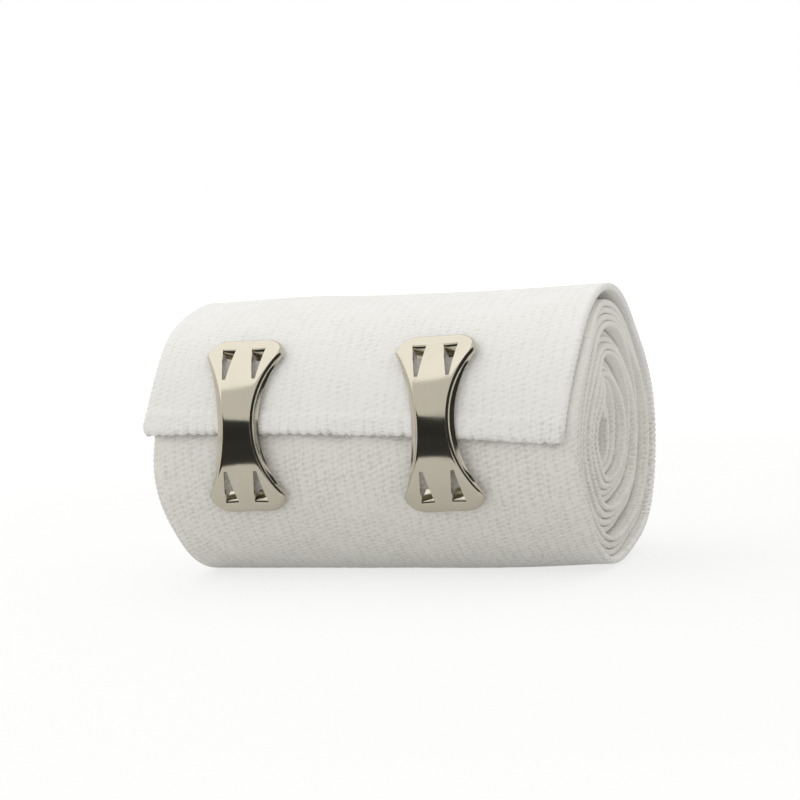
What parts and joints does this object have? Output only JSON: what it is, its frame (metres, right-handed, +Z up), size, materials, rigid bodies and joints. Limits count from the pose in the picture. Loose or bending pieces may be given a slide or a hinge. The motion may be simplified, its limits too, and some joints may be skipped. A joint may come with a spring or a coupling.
{
  "type": "elastic bandage roll with two clips",
  "caption": "Knitted elastic bandage wound into a roll, its free end held by two waisted metal clips with teeth.",
  "frame": {"origin": "on the floor under the middle of the roll, in the plane of its axis", "axes": "+X along the roll's axis, +Z up, free end and clips at the front, -Y"},
  "size_m": [0.0779, 0.05, 0.0472],
  "materials": {
    "knit": "matte",
    "plate": "polished"
  },
  "bodies": {
    "root": {"bandage_strip": "knit", "clip_left": "plate", "clip_right": "plate"}
  },
  "joints": []
}
